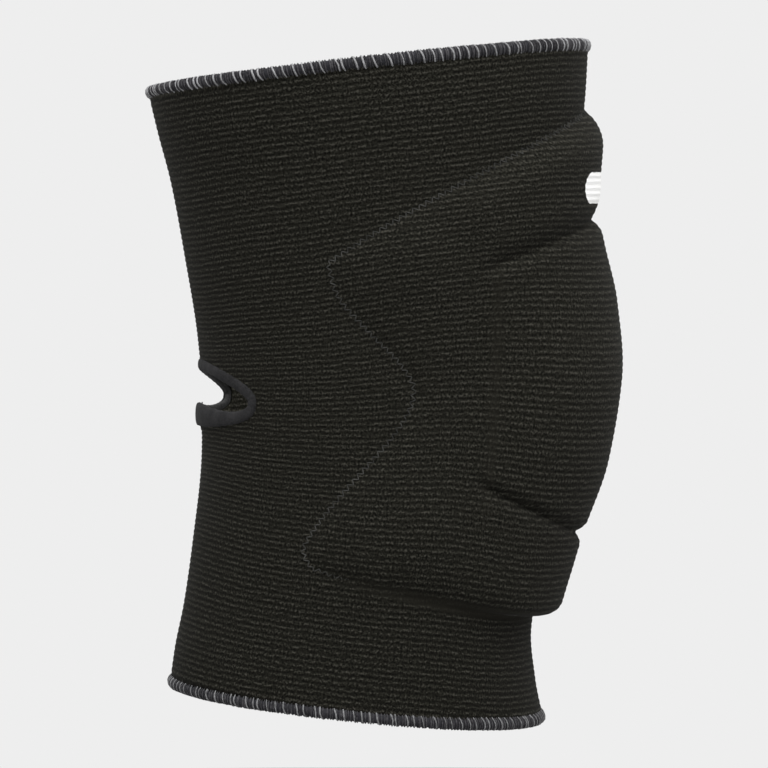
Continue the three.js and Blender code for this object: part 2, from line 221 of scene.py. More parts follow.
# The world's brightness round the horizon and overhead, and the sines of elevation
# where the first ends and the second begins
BACKGROUND = 0.855
ZENITH = 1.85
BACKGROUND_END = 0.2
ZENITH_START = 0.85
FLOOR_HEIGHT = -800
FLOOR_RADIUS = 4100


def curve_through(table, key, name):
    """A smooth curve through one column of a table that never overshoots its rows."""
    x = np.array(table[key], float)
    y = np.array(table[name], float)
    secant = np.diff(y) / np.diff(x)
    before = np.concatenate([secant[:1], secant])
    after = np.concatenate([secant, secant[-1:]])
    product = before * after
    total = np.where(product > 0, before + after, 1)
    slope = np.where(product > 0, 2 * product / total, 0)

    def curve(at):
        at = np.asarray(at, float)
        i = np.clip(np.searchsorted(x, at, side="right") - 1, 0, len(x) - 2)
        span = x[i + 1] - x[i]
        t = np.clip((at - x[i]) / span, 0, 1)
        rest = 1 - t
        return (
            y[i] * rest * rest * (1 + 2 * t)
            + y[i + 1] * t * t * (3 - 2 * t)
            + span * t * rest * (slope[i] * rest - slope[i + 1] * t)
        )

    return curve


leg_back = curve_through(LEG_SECTIONS, "at", "back")
leg_front = curve_through(LEG_SECTIONS, "at", "front")
leg_side = curve_through(LEG_SECTIONS, "at", "side")
row_side = curve_through(PAD_ROWS, "front", "side")
row_reach = curve_through(PAD_ROWS, "front", "reach")
row_bow = curve_through(PAD_ROWS, "front", "bow")
row_lobe = curve_through(PAD_ROWS, "front", "lobe")


def smoothstep(value, low, high):
    """0 up to low and 1 from high, rising smoothly between them."""
    t = np.clip((value - low) / (high - low), 0, 1)
    return t * t * (3 - 2 * t)


def bell(distance, width, power=2):
    """1 at no distance, falling to 0. High even powers give it a flat top."""
    return np.exp(-((distance / width) ** power))


def rounded(value, power):
    """A power of a sine or cosine that keeps its sign, for rounded-off outlines."""
    return np.sign(value) * np.abs(value) ** power


def full_turn(count):
    """Evenly spaced angles round a circle, in radians."""
    return np.linspace(0, 2 * np.pi, count, endpoint=False)


def signed_angle(angle):
    """Degrees from 0 to 360 as degrees on either side of the front."""
    return np.where(angle > 180, angle - 360, angle)


def lengths_along(points):
    """Length of a line from its first point to each of its points."""
    steps = np.linalg.norm(np.diff(points, axis=0), axis=1)
    return np.concatenate([[0], np.cumsum(steps)])


def leg_halves(height):
    """The leg's half depths behind and in front, and its half width, at a height."""
    at = height / np.where(height < 0, SLEEVE_BELOW, SLEEVE_ABOVE)
    return (
        leg_back(at) * KNEE_DEPTH / 2,
        leg_front(at) * KNEE_DEPTH / 2,
        leg_side(at) * KNEE_WIDTH / 2,
    )


def leg_point(angle, height, out):
    """Points at angles in degrees, heights and distances out of the leg's skin."""
    angle, height, out = np.broadcast_arrays(np.radians(angle), height, out)
    back, front, side = leg_halves(height)
    depth = np.where(np.cos(angle) >= 0, front, back)
    normal = np.stack([np.cos(angle) / depth, np.sin(angle) / side])
    normal /= np.linalg.norm(normal, axis=0)
    x = depth * np.cos(angle) + out * normal[0]
    y = side * np.sin(angle) + out * normal[1]
    bend = height / BEND_RADIUS
    return np.stack(
        [
            (BEND_RADIUS + x) * np.cos(bend) - BEND_RADIUS,
            y,
            (BEND_RADIUS + x) * np.sin(bend),
        ],
        axis=-1,
    )


def pad_share(height):
    """Height on the pad as a share of its rise or drop from the knee joint."""
    return height / np.where(height < 0, PAD_DROP, PAD_RISE)


def pad_height(share):
    return share * np.where(share < 0, PAD_DROP, PAD_RISE)


def rise(distance, run, roundness):
    """Share of the full thickness at a distance in from an edge."""
    left = 1 - np.clip(distance / run, 0, 1)
    return np.power(1 - left * left, roundness)


def groove(distance, steep, gentle):
    """Share of a flexing groove's depth. Its flank on the knee lobe, at positive
    distances, is the steep one."""
    width = np.where(distance > 0, steep, gentle)
    return np.maximum(1 - np.abs(distance) / width, 0) ** 2


def grooves(front, angle):
    """Depth of the flexing grooves and of the folds that part the wings from the front."""
    fade = 1 - smoothstep(angle, GROOVE_REACH - GROOVE_FADE, GROOVE_REACH)
    above_upper = front - pad_height(UPPER_GROOVE_ROW)
    above_lower = front - pad_height(LOWER_GROOVE_ROW)
    upper = groove(-above_upper, UPPER_GROOVE_STEEP, UPPER_GROOVE_GENTLE)
    lower = groove(above_lower, LOWER_GROOVE_STEEP, LOWER_GROOVE_GENTLE)
    high = smoothstep(front, PAD_RISE / 2, PAD_RISE)
    from_crease = angle - CREASE_ANGLE - CREASE_LEAN * high
    crease = CREASE_DEPTH * (1 + high) * bell(from_crease, CREASE_WIDTH)
    return GROOVE_DEPTH * fade * (upper + lower) + crease


def pad_thickness(front, angle):
    """How far the pad lifts the knit, at angles on the rows that leave the front at
    the heights front."""
    share = np.clip(pad_share(front), -1, 1)
    reach = PAD_WRAP * row_reach(share)
    to_front = np.cos(np.radians(90 * np.minimum(angle / CREASE_ANGLE, 1)))
    lobe = KNEE_LOBE * row_lobe(share)
    full = WING_THICKNESS + (lobe - WING_THICKNESS) * np.power(to_front, LOBE_FALL)
    side_distance = np.radians(reach - angle) * KNEE_WIDTH / 2
    wing = smoothstep(angle, WING_START, WING_FULL)

    def edge_rise(distance, edge):
        run, roundness = (here + (far - here) * wing for here, far in zip(edge, WING_EDGE))
        return rise(distance, run, roundness)

    risen = (
        edge_rise(PAD_RISE - front, UPPER_EDGE)
        * edge_rise(front + PAD_DROP, LOWER_EDGE)
        * rise(side_distance, *SIDE_EDGE)
    )
    edge = np.minimum(np.minimum(PAD_RISE - front, front + PAD_DROP), side_distance)
    lip = PAD_EDGE * rise(edge, 3 * SEAM_INSET, 1)
    return np.maximum((full - grooves(front, angle)) * risen + lip * (1 - risen), 0)


# A table of the pad's lift by angle and height, from which any point is read.
LIFT_ANGLES = np.linspace(0, 180, 721)
LIFT_HEIGHTS = np.linspace(-SLEEVE_BELOW, SLEEVE_ABOVE, 893)


def lift_table():
    """Fills the table along each angle, from rows that leave the front at each height."""
    front = np.linspace(-PAD_DROP, PAD_RISE, 1200)
    share = pad_share(front)
    reach = PAD_WRAP * row_reach(share)
    side = pad_height(row_side(share))
    table = np.zeros((len(LIFT_ANGLES), len(LIFT_HEIGHTS)))
    for i, angle in enumerate(LIFT_ANGLES):
        inside = angle < reach
        if not inside.any():
            continue
        far = np.minimum(angle / reach, 1)
        height = side + (front - side) * (1 - np.power(far, row_bow(share)))
        lift = np.where(inside, pad_thickness(front, np.minimum(angle, reach)), 0)
        ends = np.flatnonzero(np.diff(inside.astype(int)))
        starts = np.concatenate([[0], ends + 1])
        stops = np.concatenate([ends + 1, [len(front)]])
        for start, stop in zip(starts, stops):
            if inside[start] and stop - start > 1:
                run = slice(start, stop)
                found = np.interp(LIFT_HEIGHTS, height[run], lift[run], 0, 0)
                table[i] = np.maximum(table[i], found)
    return table


LIFT = lift_table()


def pad_lift(angle, height):
    """The table, read between its rows and columns."""
    angle, height = np.broadcast_arrays(np.abs(angle), height)
    a = angle / 180 * (len(LIFT_ANGLES) - 1)
    h = (height + SLEEVE_BELOW) / (SLEEVE_ABOVE + SLEEVE_BELOW) * (len(LIFT_HEIGHTS) - 1)
    i = np.clip(a.astype(int), 0, len(LIFT_ANGLES) - 2)
    j = np.clip(h.astype(int), 0, len(LIFT_HEIGHTS) - 2)
    u, v = a - i, h - j
    near = LIFT[i, j] * (1 - u) + LIFT[i + 1, j] * u
    far = LIFT[i, j + 1] * (1 - u) + LIFT[i + 1, j + 1] * u
    return near * (1 - v) + far * v


def ribs_at(height, angle):
    """Count of ribs from the knee joint up to a height. They bunch behind the knee and
    spread over its lobe."""
    angle = np.abs(angle)
    first, second = (smoothstep(angle, *span) for span in BACK_BUNCHING_SPANS)
    behind = BACK_BUNCHING * (first + second) / 2
    ahead = FRONT_SPREAD * (1 - smoothstep(angle, *FRONT_SPREAD_SPAN))
    pull = behind * bell(height, BACK_BUNCHING_REACH)
    spread = ahead * bell(height, FRONT_SPREAD_REACH)
    sway = RIB_SWAY * bell(angle - RIB_SWAY_ANGLE, RIB_SWAY_WIDTH)
    sway = sway * bell(height - RIB_SWAY_MIDDLE, RIB_SWAY_REACH, 4)
    return (height * (1 + pull - spread) - sway) / RIB_PITCH


def rib_height(rib, angle):
    """Height of a rib line, by ribs from the knee joint."""
    height = rib * RIB_PITCH
    for _ in range(RIB_ROUNDS):
        height = height - (ribs_at(height, angle) - rib) * RIB_PITCH
    return height


def lip(angle):
    """1 at the middle of the opening's lower edge, falling to 0 on either side."""
    return bell(180 - np.abs(angle), LIP_SPREAD)


def lip_roll(angle, height):
    """How far the lower edge of the opening rolls outward."""
    return LIP_ROLL * lip(angle) * bell(height + OPENING_DROP, LIP_HEIGHT)


def knit_inside(angle, height):
    """Distance of the knit's inner face from the leg."""
    return pad_lift(angle, height) + lip_roll(angle, height)


def knit_surface(angle, height):
    """Distance of the knit's outer face from the leg, between groove and ridge."""
    return knit_inside(angle, height) + KNIT_THICKNESS


def below_pad(angle):
    """1 along the part of the lower seam that the pad overhangs, falling to 0 behind."""
    return bell(angle, SEAM_SUNK_ANGLE, 10)


def shaded_seam_band(angle, height):
    """1 on the lower seam where it pulls the knit smooth and it is painted in shade, falling to
    0 round it.
    """
    along = np.minimum(np.abs(angle) / (PAD_WRAP * row_reach(-1)), 1)
    side = PAD_DROP * row_side(-1)
    seam = side - (PAD_DROP + side) * (1 - along ** row_bow(-1))
    near = 1 - smoothstep(np.abs(height - seam), SHADED_SEAM_BAND / 2, SHADED_SEAM_BAND)
    return near * below_pad(angle)


def pressed_and_shaded_fold(angle, height):
    """How far the knit is pressed flat and painted in shade in front of the wings, up to
    FOLD_SHARE.
    """
    line = bell(np.abs(angle) - FOLD_ANGLE, FOLD_WIDTH)
    return FOLD_SHARE * line * bell(height - FOLD_MIDDLE, FOLD_REACH, 6)


def hanging(angle, height):
    """1 where the pad hangs over its lower seam, falling to 0 round it."""
    return bell(height + PAD_DROP, SAG_HEIGHT) * bell(angle, SAG_ANGLE, 4)


def sagging(angle, height, out):
    """Points as leg_point gives them, lower where the pad hangs over its lower seam."""
    points = leg_point(angle, height, out)
    points[..., 2] -= SAG * pad_lift(angle, height) * hanging(angle, height)
    return points


def add_uv(mesh, name, uv, turn=math.inf):
    """A UV map for a mesh of quads, from one pair for each point. Quads across which U
    falls by nearly a whole turn get one more turn on their low side."""
    layer = mesh.uv_layers.new(name=name)
    corners = np.zeros(len(mesh.loops), np.int32)
    mesh.loops.foreach_get("vertex_index", corners)
    pairs = np.array(uv, np.float32)[corners].reshape(-1, 4, 2)
    across = pairs[..., 0]
    wrapped = np.ptp(across, axis=1, keepdims=True) > turn / 2
    across[wrapped & (across < 0)] += turn
    layer.data.foreach_set("uv", pairs.ravel())


def make_object(name, points, faces, material):
    """A smooth mesh from points in millimetres."""
    mesh = bpy.data.meshes.new(name)
    mesh.from_pydata((np.asarray(points) * MM).tolist(), [], faces)
    mesh.polygons.foreach_set("use_smooth", np.ones(len(mesh.polygons), bool))
    mesh.materials.append(material)
    mesh.update()
    made = bpy.data.objects.new(name, mesh)
    bpy.context.scene.collection.objects.link(made)
    return made


def grid_faces(rows, columns, rows_close=True, columns_close=True):
    """Quads of a grid of points stored row by row. They face out when the rows go up
    and the columns go round anticlockwise."""
    j = np.arange(rows if rows_close else rows - 1)[:, None]
    i = np.arange(columns if columns_close else columns - 1)[None, :]
    above = (j + 1) % rows * columns
    after = (i + 1) % columns
    row = j * columns
    return np.stack([row + i, row + after, above + after, above + i], axis=-1).reshape(-1, 4)


def loop_frame(points, normals):
    """Directions along and across a closed line whose outward normals are known."""
    tangent = np.roll(points, -1, axis=0) - np.roll(points, 1, axis=0)
    tangent /= np.linalg.norm(tangent, axis=1, keepdims=True)
    across = np.cross(tangent, normals)
    across /= np.linalg.norm(across, axis=1, keepdims=True)
    return tangent, across


def thread_mesh(points, normals, radius, sides=5):
    """A closed loop of round thread."""
    tangent, across = loop_frame(points, normals)
    up = np.cross(across, tangent)
    turn = full_turn(sides)[None, :, None]
    radius = np.broadcast_to(radius, len(points))[:, None, None]
    ring = np.cos(turn) * up[:, None] + np.sin(turn) * across[:, None]
    rings = points[:, None] + radius * ring
    return rings.reshape(-1, 3), grid_faces(len(points), sides).tolist()


# Sleeve


def sleeve_mesh():
    """Outer face in real ribs, inner face plain, joined at both ends. Gives also where the
    lower seam and the fold smooth the knit and paint it in shade, how far the foam lifts it for
    painted light over the pad, and which faces are the inner ones."""
    signed = signed_angle(np.linspace(0, 360, SLEEVE_COLUMNS, endpoint=False))
    bottom, top = SLEEVE_BOTTOM - KNIT_INTO_HEM, SLEEVE_TOP + KNIT_INTO_HEM
    first, last = math.ceil(bottom / RIB_PITCH), math.floor(top / RIB_PITCH)
    ribs = np.linspace(first, last, (last - first) * ROWS_PER_RIB + 1)
    ribs = np.concatenate([[bottom / RIB_PITCH], ribs, [top / RIB_PITCH]])
    height = rib_height(ribs[:, None], signed[None, :])
    height[0], height[-1] = bottom, top
    wave = -RIB_HEIGHT / 2 * np.cos(2 * np.pi * ribs)[:, None]
    outer = sagging(signed, height, knit_surface(signed, height) + wave)
    around = np.radians(signed) * KNEE_RADIUS
    outer_uv = np.stack(np.broadcast_arrays(around[None, :], ribs[:, None]), axis=-1)
    # Share of the knit smoothed and painted in shade, on the lower seam and the fold
    smooth = shaded_seam_band(signed, height) + pressed_and_shaded_fold(signed, height)

    stations = (bottom, -PAD_DROP - CROWDED_BELOW, CROWDED_ABOVE - PAD_DROP, top)
    shares = np.linspace(1, 0, INNER_ROWS)
    inner_ribs = np.interp(shares, CROWDED_SHARES, stations) / RIB_PITCH
    inner_height = np.broadcast_to(
        inner_ribs[:, None] * RIB_PITCH, (INNER_ROWS, SLEEVE_COLUMNS)
    )
    inner = sagging(signed, inner_height, knit_inside(signed, inner_height))
    inner_uv = np.stack(np.broadcast_arrays(around[None, :], inner_ribs[:, None]), axis=-1)

    points = np.concatenate([outer, inner]).reshape(-1, 3)
    uv = np.concatenate([outer_uv, inner_uv]).reshape(-1, 2)
    rows = len(ribs) + INNER_ROWS
    within = np.repeat(np.arange(rows) >= len(ribs), SLEEVE_COLUMNS).astype(np.int32)
    # X: share of the knit smoothed and painted in shade; Y: the pad's lift, which sets the
    # painted light over the pad
    pulled = np.zeros((rows * SLEEVE_COLUMNS, 2))
    pulled[: smooth.size, 0] = smooth.ravel()
    pulled[: smooth.size, 1] = pad_lift(signed, height).ravel() / KNEE_LOBE
    return points, grid_faces(rows, SLEEVE_COLUMNS).tolist(), uv, pulled, within


def opening_line(count, out):
    """Points and outward normals along the middle of the binding, and the share of the
    rolled lip at each."""
    turn = full_turn(count)
    above = np.sin(turn) >= 0
    power = np.where(above, OPENING_UPPER_POWER, OPENING_LOWER_POWER)
    half = OPENING_WIDTH / 2
    tall = np.where(above, OPENING_RISE, OPENING_DROP)
    across = rounded(np.cos(turn), power) * half
    height = rounded(np.sin(turn), power) * tall
    side = leg_halves(height)[2] + KNIT_THICKNESS
    angle = 180 - np.degrees(np.arcsin(across / side))
    share = lip(angle) * np.maximum(-np.sin(turn), 0)
    height = height + LIP_LIFT * share
    out = out + lip_roll(angle, height)
    points = leg_point(angle, height, out)
    normals = leg_point(angle, height, out + 1) - points
    return points, normals, share


def cut_opening(sleeve):
    """Cuts the opening behind the knee through the knit."""
    count, reach = 96, 12
    outer = opening_line(count, reach)[0]
    inner = opening_line(count, -reach)[0]
    points = np.concatenate([outer, inner])
    sides = grid_faces(2, count, rows_close=False).tolist()
    faces = [*sides, list(range(count - 1, -1, -1)), list(range(count, 2 * count))]
    cutter = make_object("cutter", points, faces, sleeve.data.materials[0])
    cut = sleeve.modifiers.new("opening", "BOOLEAN")
    cut.operation = "DIFFERENCE"
    cut.solver = "EXACT"
    cut.object = cutter
    apply_modifiers(sleeve)
    bpy.data.objects.remove(cutter)


def apply_modifiers(piece):
    graph = bpy.context.evaluated_depsgraph_get()
    made = bpy.data.meshes.new_from_object(piece.evaluated_get(graph))
    piece.modifiers.clear()
    piece.data = made


# Foam pad


def foam_mesh():
    """The pad under the knit, on rows that follow its seam."""
    rows, columns = 130, 141
    least, off_leg = 0.4, 0.1
    front = np.linspace(SEAM_INSET - PAD_DROP, PAD_RISE - SEAM_INSET, rows)[:, None]
    share = pad_share(front)
    reach = PAD_WRAP * row_reach(share)
    limit = 1 - SEAM_INSET / (np.radians(reach) * KNEE_WIDTH / 2)
    along = np.linspace(-1, 1, columns)[None, :] * limit
    side = pad_height(row_side(share))
    height = side + (front - side) * (1 - np.power(np.abs(along), row_bow(share)))
    angle = along * reach
    top = np.maximum(pad_lift(angle, height) - CLEARANCE, least)
    outer = sagging(angle, height, top)
    inner = leg_point(angle, height, off_leg)
    count = rows * columns
    face = grid_faces(rows, columns, rows_close=False, columns_close=False)
    edge = np.concatenate(
        [
            np.arange(columns - 1),
            np.arange(rows - 1) * columns + columns - 1,
            count - 1 - np.arange(columns - 1),
            (rows - 1 - np.arange(rows - 1)) * columns,
        ]
    )
    after = np.roll(edge, -1)
    rim = np.stack([edge, edge + count, after + count, after], axis=-1)
    faces = np.concatenate([face, face[:, ::-1] + count, rim]).tolist()
    points = np.concatenate([outer.reshape(-1, 3), inner.reshape(-1, 3)])
    return points, faces


# Hems


def rim_line(middle, count):
    """Places round a rim, evenly spaced along it: angle and arc length."""
    angle = np.linspace(0, 360, 1441)
    lengths = lengths_along(leg_point(signed_angle(angle), middle, KNIT_THICKNESS / 2))
    arc = np.linspace(0, lengths[-1], count, endpoint=False)
    return np.interp(arc, lengths, angle), lengths[-1]


def wobble(angle, seed, size):
    """A slow uneven wave round the rim that meets itself."""
    random = np.random.default_rng(seed)
    total = 0
    for cycles in (3, 7, 11, 17, 29, 41):
        phase = random.uniform(0, 2 * np.pi)
        total = total + np.cos(np.radians(angle) * cycles + phase) / math.sqrt(cycles)
    return total * size


def hem_point(angle, turn, middle, swell):
    """A point on the hem's rounded section, turn 0 being outside and 90 above."""
    bulge_seed, lean_seed = UPPER_HEM_SEEDS if middle > 0 else LOWER_HEM_SEEDS
    bulge = 1 + wobble(angle, bulge_seed, HEM_BULGE)
    out = KNIT_THICKNESS / 2 + (HEM_HALF_THICKNESS * bulge + swell) * np.cos(turn)
    lean = wobble(angle, lean_seed, HEM_LEAN)
    up = (HEM_HALF_HEIGHT * bulge + swell) * np.sin(turn) + lean
    return leg_point(signed_angle(angle), middle + up, out)


def hem_mesh(middle):
    """The hem's core, which shows between the threads."""
    count, sides = 480, 14
    angle, _ = rim_line(middle, count)
    turn = full_turn(sides)
    points = hem_point(angle[:, None], turn[None, :], middle, -DARK_THREAD * HEM_CORE_SUNK)
    return points.reshape(-1, 3), grid_faces(count, sides)[:, ::-1].tolist()


def loops_mesh(middle, pitch, thread, seed, swell):
    """Thread that winds round the hem, leaning as an overlock machine leaves it."""
    _, length = rim_line(middle, 8)
    turns = round(length / pitch)
    steps = 12
    count = turns * steps
    angle, _ = rim_line(middle, count)
    random = np.random.default_rng(seed)

    def uneven(low, high):
        """A value drawn for each loop, and read between them."""
        drawn = random.uniform(low, high, turns + 1)
        return np.interp(np.arange(count), np.arange(turns + 1) * steps, drawn)

    jitter = uneven(-LOOP_JITTER, LOOP_JITTER)
    turn = -2 * np.pi * np.arange(count) / steps
    shifted = (angle + jitter * pitch / length * 360) % 360
    line = hem_point(shifted, turn, middle, swell)
    centre = hem_point(shifted, turn, middle, swell - 1)
    return thread_mesh(line, line - centre, thread * uneven(*THREAD_WIDTHS))


# Opening's binding


def binding_mesh():
    """A folded tape that wraps the cut edge: a rounded, slightly flattened section."""
    count, sides = 220, 16
    middle = KNIT_THICKNESS / 2 + BINDING_STAND_OFF
    points, normals, share = opening_line(count, middle)
    _, across = loop_frame(points, normals)
    turn = full_turn(sides)
    half = BINDING_DIAMETER / 2
    round_out = rounded(np.cos(turn), BINDING_OUT_POWER) * half * BINDING_OUT
    round_across = rounded(np.sin(turn), BINDING_ACROSS_POWER) * half * BINDING_ACROSS
    wave = np.sin(np.arange(count) * 2 * np.pi * PUCKERS / count)
    pucker = (1 + PUCKER_DEPTH * wave)[:, None, None]
    taller = (1 + LIP_SWELL * share)[:, None, None]
    rings = (
        points[:, None]
        + pucker * round_out[None, :, None] * normals[:, None]
        + pucker * taller * round_across[None, :, None] * across[:, None]
    )
    within = np.tile(np.cos(turn + np.pi / sides) < 0, count).astype(np.int32)
    return rings.reshape(-1, 3), grid_faces(count, sides).tolist(), within


# Stitching round the pad


def seam_outline():
    """Angle and height all round the pad's seam, from the front's lowest point."""
    along = np.linspace(0, 1, 120)
    rows = np.linspace(-1, 1, 400)

    def row(share):
        side, front = pad_height(row_side(share)), pad_height(np.array(share))
        reach = PAD_WRAP * row_reach(share)
        height = side + (front - side) * (1 - along ** row_bow(share))
        return np.stack([along * reach, height], axis=-1)

    edge = np.stack([PAD_WRAP * row_reach(rows), pad_height(row_side(rows))], axis=-1)
    half = np.concatenate([row(-1.0)[:-1], edge, row(1.0)[-2::-1]])
    other = half[-2:0:-1] * [-1, 1]
    return np.concatenate([half, other])


def seam_mesh():
    """A zigzag thread along the seam that dips into the knit at each turn."""
    outline = seam_outline()
    line = leg_point(outline[:, 0], outline[:, 1], KNIT_THICKNESS)
    line = np.concatenate([line, line[:1]])
    outline = np.concatenate([outline, outline[:1]])
    arc = lengths_along(line)
    periods = round(arc[-1] / ZIGZAG_PERIOD)
    steps = 8
    count = periods * steps
    at = np.linspace(0, arc[-1], count, endpoint=False)
    angle = np.interp(at, arc, outline[:, 0])
    height = np.interp(at, arc, outline[:, 1])
    flat = np.stack([np.radians(angle) * KNEE_RADIUS, height], axis=-1)
    tangent = np.roll(flat, -steps, axis=0) - np.roll(flat, steps, axis=0)
    tangent /= np.linalg.norm(tangent, axis=1, keepdims=True)
    phase = np.arange(count) / steps
    swing = 2 * np.abs(2 * (phase % 1) - 1) - 1
    flat[:, 0] -= tangent[:, 1] * swing * ZIGZAG_WIDTH / 2
    flat[:, 1] += tangent[:, 0] * swing * ZIGZAG_WIDTH / 2
    angle, height = np.degrees(flat[:, 0] / KNEE_RADIUS), flat[:, 1]
    dip = np.abs(swing) ** 3
    out = knit_surface(angle, height) + RIB_HEIGHT / 2 - dip * SEAM_THREAD * SEAM_DIP
    out = out - SEAM_SUNK * (height < SEAM_SUNK_HEIGHT) * below_pad(angle)
    points = sagging(angle, height, out)
    normals = sagging(angle, height, out + 1) - points
    return thread_mesh(points, normals, SEAM_THREAD)


# Materials


class Surface:
    """A material's nodes, made one at a time."""

    def __init__(self, name):
        self.material = bpy.data.materials.new(name)
        self.material.use_nodes = True
        self.tree = self.material.node_tree
        self.shader = self.tree.nodes["Principled BSDF"]

    def node(self, kind, links=None, **settings):
        made = self.tree.nodes.new(kind)
        for name, value in settings.items():
            setattr(made, name, value)
        for name, value in (links or {}).items():
            self.put(made.inputs[name], value)
        return made

    def put(self, socket, value):
        if isinstance(value, bpy.types.NodeSocket):
            self.tree.links.new(value, socket)
        else:
            socket.default_value = value

    def math(self, operation, *values):
        made = self.node("ShaderNodeMath", operation=operation)
        for socket, value in zip(made.inputs, values):
            self.put(socket, value)
        return made.outputs[0]

    def uv(self, name):
        return self.node("ShaderNodeUVMap", uv_map=name).outputs["UV"]

    def place(self):
        return self.node("ShaderNodeTexCoord").outputs["Object"]

    def noise(self, vector, scale, detail=2.0, roughness=0.5):
        links = {"Vector": vector, "Scale": scale, "Detail": detail, "Roughness": roughness}
        return self.node("ShaderNodeTexNoise", links).outputs["Fac"]

    def stretched(self, vector, scale):
        links = {"Vector": vector, "Scale": scale}
        return self.node("ShaderNodeMapping", links).outputs["Vector"]

    def ramp(self, factor, stops):
        made = self.node("ShaderNodeValToRGB", {"Fac": factor})
        elements = made.color_ramp.elements
        while len(elements) < len(stops):
            elements.new(0.5)
        for element, (position, colour) in zip(elements, stops):
            element.position = position
            element.color = (*colour, 1)
        return made.outputs["Color"]

    def bump(self, height, distance, strength=1.0, normal=None):
        links = {"Height": height, "Distance": distance, "Strength": strength}
        if normal is not None:
            links["Normal"] = normal
        return self.node("ShaderNodeBump", links).outputs["Normal"]

    def blend(self, factor, first, second):
        made = self.node("ShaderNodeMix", {"Factor": factor}, data_type="RGBA")
        for socket, value in ((made.inputs[6], first), (made.inputs[7], second)):
            self.put(socket, value if isinstance(value, bpy.types.NodeSocket) else (*value, 1))
        return made.outputs[2]

    def finish(self, inputs):
        for name, value in inputs.items():
            self.put(self.shader.inputs[name], value)
        return self.material


def knit_material(name, paler, barred):
    """Dark rib knit, paler by a factor, which is painted light where it is above 1, with or
    without the plain bar. Narrow grooves, dark partly from painted shade, part broad ribs of
    small upright loops."""
    s = Surface(name)
    uv = s.uv("knit")
    parts = s.node("ShaderNodeSeparateXYZ", {"Vector": uv})
    around, rib = parts.outputs["X"], parts.outputs["Y"]

    # Rib lines, drifting up and down a little
    drift = s.noise(s.stretched(uv, (0.22, 0.7, 1.0)), 1.0, 4.0, 0.7)
    wavy = s.math("MULTIPLY_ADD", s.math("SUBTRACT", drift, 0.5), 0.95, rib)
    ridge = s.math("MULTIPLY", s.math("PINGPONG", wavy, 0.5), 2.0)

    # Loops along each rib, clear in some patches and faint in others
    shift = s.math("MULTIPLY", s.noise(s.stretched(uv, (0.2, 1.1, 1.0)), 1.0, 2.0), 6.0)
    loops = s.math("MULTIPLY_ADD", around, 1 / LOOP_PITCH, shift)
    loops = s.math("COSINE", s.math("MULTIPLY", loops, 2 * math.pi))
    patches = s.noise(s.stretched(uv, (0.06, 0.12, 1.0)), 1.0, 2.0)
    patches = s.math("MULTIPLY_ADD", patches, 3.0, -1.1)
    loops = s.math("MULTIPLY", loops, s.math("MAXIMUM", s.math("MINIMUM", patches, 1.0), 0.1))

    # Tone: brightest on the ridges, partly the knit's own tone and partly painted shade in the
    # grooves, speckled
    speckle = s.noise(s.stretched(uv, (1.55, 2.4, 1.0)), 1.0, 1.5, 0.6)
    speck = s.math("MULTIPLY", s.math("SUBTRACT", speckle, 0.5), 4.0)
    rib_tone_and_groove_shade = s.math("MULTIPLY", s.math("POWER", ridge, 1.3), 0.62)
    tone = s.math("MULTIPLY", rib_tone_and_groove_shade, s.math("ADD", speck, 1.0))
    tone = s.math("MULTIPLY_ADD", speck, 0.44, s.math("ADD", tone, 0.14))
    tone = s.math("MULTIPLY_ADD", loops, 0.24, tone)
    pulled = s.node("ShaderNodeSeparateXYZ", {"Vector": s.uv("pulled")})
    # Painted light: the knit is paler higher up the leg
    tone = s.math("MULTIPLY_ADD", rib, PAINTED_LIGHT_UP_LEG, tone)
    # Painted light: the knit is paler over the pad's thickest part
    tone = s.math("MULTIPLY_ADD", pulled.outputs["Y"], PAINTED_LIGHT_OVER_PAD, tone)
    stops = (
        (0.1, (0.0019, 0.0018, 0.0014)),
        (0.42, (0.008, 0.0078, 0.0059)),
        (0.68, (0.0181, 0.0175, 0.0138)),
        (1.0, (0.042, 0.0402, 0.0335)),
    )
    stops = [(at, tuple(paler * part for part in colour)) for at, colour in stops]
    colour = s.ramp(s.math("MULTIPLY_ADD", tone, 0.62, 0.22), stops)
    # Painted shade: the lower seam band and the fold line turn a flat darker colour, besides
    # being smoothed
    smooth = s.math("MULTIPLY", pulled.outputs["X"], 0.85)
    colour = s.blend(smooth, colour, (0.0115, 0.0109, 0.0083))
    if barred:
        colour = s.blend(bar_mask(s, around, rib), colour, (0.8, 0.8, 0.79))

    # Relief: ridges, loops and fuzz
    height = s.math("MULTIPLY_ADD", ridge, 0.45, s.math("MULTIPLY", speckle, 0.9))
    height = s.math("MULTIPLY_ADD", loops, 0.15, height)
    height = s.math("MULTIPLY", height, s.math("SUBTRACT", 1.0, smooth))
    fuzz = s.noise(s.place(), 2600, 2.0, 0.8)
    normal = s.bump(height, 0.0003, 0.8)
    normal = s.bump(fuzz, 0.00008, 0.5, normal)
    return s.finish(
        {
            "Base Color": colour,
            "Roughness": 0.9,
            "Specular IOR Level": 0.05,
            "Sheen Weight": 0.009,
            "Sheen Roughness": 0.4,
            "Normal": normal,
        }
    )


def bar_mask(s, around, rib):
    """1 inside the plain bar on the upper lobe: a band with round, frayed ends."""
    middle = float(ribs_at(BAR_HEIGHT, 0))
    pitch = 2 / float(ribs_at(BAR_HEIGHT + 1, 0) - ribs_at(BAR_HEIGHT - 1, 0))
    up = s.math("MULTIPLY", s.math("SUBTRACT", rib, middle), pitch)
    straight = (BAR_LENGTH - BAR_WIDTH) / 2
    beyond = s.math("MAXIMUM", s.math("SUBTRACT", s.math("ABSOLUTE", around), straight), 0.0)
    square = s.math("ADD", s.math("MULTIPLY", up, up), s.math("MULTIPLY", beyond, beyond))
    fibres = s.noise(s.place(), 900)
    frayed = s.math("MULTIPLY_ADD", fibres, BAR_FRAY, s.math("SQRT", square))
    return s.math("LESS_THAN", frayed, BAR_WIDTH / 2 + BAR_FRAY / 2)


